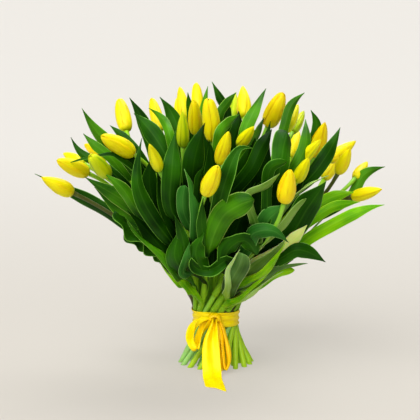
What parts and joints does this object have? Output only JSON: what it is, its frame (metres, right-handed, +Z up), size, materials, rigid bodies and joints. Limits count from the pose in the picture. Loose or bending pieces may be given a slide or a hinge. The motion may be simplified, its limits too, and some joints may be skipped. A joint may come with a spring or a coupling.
{
  "type": "bunch of tulips",
  "caption": "Spiral hand-tied bunch of closed yellow tulips with long green leaves, held by a satin ribbon bow and standing on its cut stems.",
  "frame": {"origin": "centre of the middle stem's cut end, in the middle of the foot, on the surface that the bunch stands on", "axes": "+Z up along the middle of the bunch, -Y towards the front with the bow, +X to the right seen from the front"},
  "size_m": [0.4611, 0.4104, 0.372],
  "materials": {
    "tulip_yellow": "satin",
    "tulip_gold": "satin",
    "tulip_fresh": "satin",
    "tulip_green": "satin",
    "stem": "satin",
    "leaf": "satin",
    "ribbon": "satin"
  },
  "bodies": {
    "root": {"leaf_01": "leaf", "leaf_02": "leaf", "leaf_03": "leaf", "leaf_04": "leaf", "leaf_05": "leaf", "leaf_06": "leaf", "leaf_07": "leaf", "leaf_08": "leaf", "leaf_09": "leaf", "leaf_10": "leaf", "leaf_11": "leaf", "leaf_12": "leaf", "leaf_13": "leaf", "leaf_14": "leaf", "leaf_15": "leaf", "leaf_16": "leaf", "leaf_17": "leaf", "ribbon_band": "ribbon", "ribbon_knot": "ribbon", "ribbon_loop_left": "ribbon", "ribbon_loop_right": "ribbon", "ribbon_tail_back": "ribbon", "ribbon_tail_front": "ribbon", "tulip_01": "tulip_yellow", "tulip_02": "tulip_yellow", "tulip_03": "tulip_yellow", "tulip_04": "tulip_yellow", "tulip_05": "tulip_yellow", "tulip_06": "tulip_gold", "tulip_07": "tulip_fresh", "tulip_08": "tulip_green", "tulip_09": "tulip_yellow", "tulip_10": "tulip_yellow", "tulip_11": "tulip_yellow", "tulip_12": "tulip_yellow", "tulip_13": "tulip_yellow", "tulip_14": "tulip_fresh", "tulip_15": "tulip_fresh", "tulip_16": "tulip_fresh", "tulip_17": "tulip_yellow", "tulip_18": "tulip_green", "tulip_19": "tulip_yellow", "tulip_20": "tulip_fresh", "tulip_21": "tulip_yellow", "tulip_22": "tulip_yellow", "tulip_23": "tulip_yellow", "tulip_24": "tulip_fresh", "tulip_25": "tulip_gold", "tulip_26": "tulip_yellow", "tulip_27": "tulip_yellow", "tulip_28": "tulip_green", "tulip_29": "tulip_green", "tulip_30": "tulip_yellow", "tulip_31": "tulip_gold", "tulip_32": "tulip_yellow", "tulip_33": "tulip_fresh", "tulip_34": "tulip_yellow", "tulip_35": "tulip_yellow", "tulip_36": "tulip_gold", "tulip_37": "tulip_yellow"}
  },
  "joints": []
}
